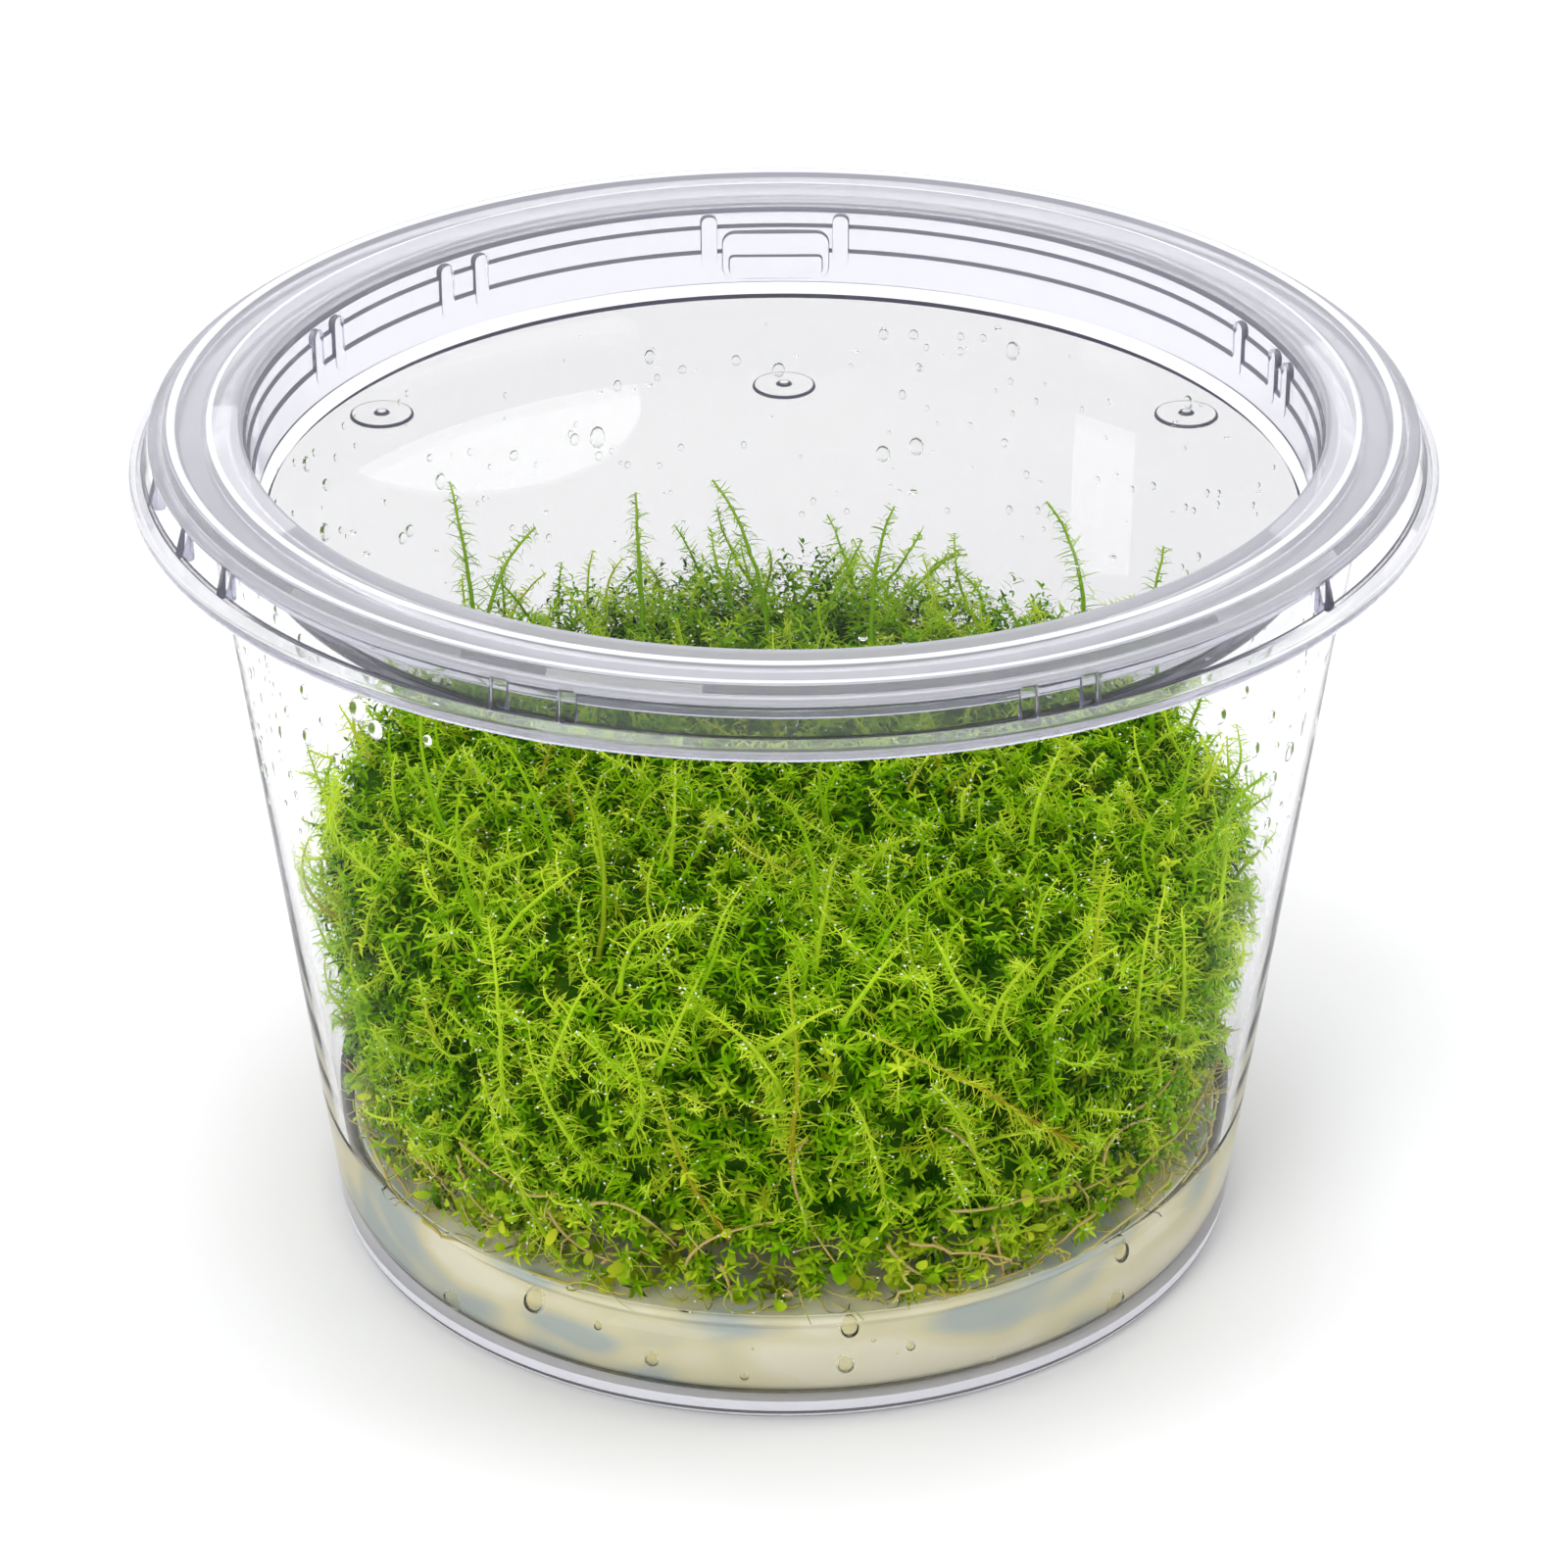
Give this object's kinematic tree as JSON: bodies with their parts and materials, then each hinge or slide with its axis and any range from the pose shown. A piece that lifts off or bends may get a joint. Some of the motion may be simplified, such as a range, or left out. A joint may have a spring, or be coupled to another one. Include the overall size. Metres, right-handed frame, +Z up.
{
  "type": "tissue culture aquarium moss in a lidded cup",
  "caption": "Clump of creeping feather moss on a slab of agar gel, in a clear tapered culture cup with a push-on stacking lid.",
  "frame": {"origin": "centre of the cup's foot ring, on the surface that the cup stands on", "axes": "+Z up along the cup's axis; -Y is the front of the pictured cup, +X its right"},
  "size_m": [0.1, 0.1, 0.0692],
  "materials": {
    "cup_plastic": "clear injection-moulded plastic, glossy",
    "lid_plastic": "clear injection-moulded plastic, glossy, faint lilac tint",
    "agar": "clear pale yellow agar gel, wet",
    "moss": "small wet green leaves",
    "moss_shoot": "yellow-green stems with fine leaves"
  },
  "bodies": {
    "root": {"cup": "cup_plastic", "lid": "lid_plastic", "agar_gel": "agar", "moss_clump": "moss", "shoot_back_left": "moss_shoot", "shoot_back_left_arch": "moss_shoot", "shoot_back_mid_left": "moss_shoot", "shoot_back_middle": "moss_shoot", "shoot_back_mid_right": "moss_shoot", "shoot_back_right": "moss_shoot", "shoot_right_edge": "moss_shoot", "shoot_left_front": "moss_shoot", "shoot_left_tall": "moss_shoot", "shoot_left_lean": "moss_shoot", "shoot_far_left_front": "moss_shoot", "shoot_middle_front": "moss_shoot", "shoot_middle_arch": "moss_shoot", "shoot_middle_long": "moss_shoot", "shoot_middle_low": "moss_shoot", "shoot_right_front": "moss_shoot", "shoot_right_arch": "moss_shoot", "shoot_far_right_front": "moss_shoot", "shoot_far_right_edge": "moss_shoot"}
  },
  "joints": []
}
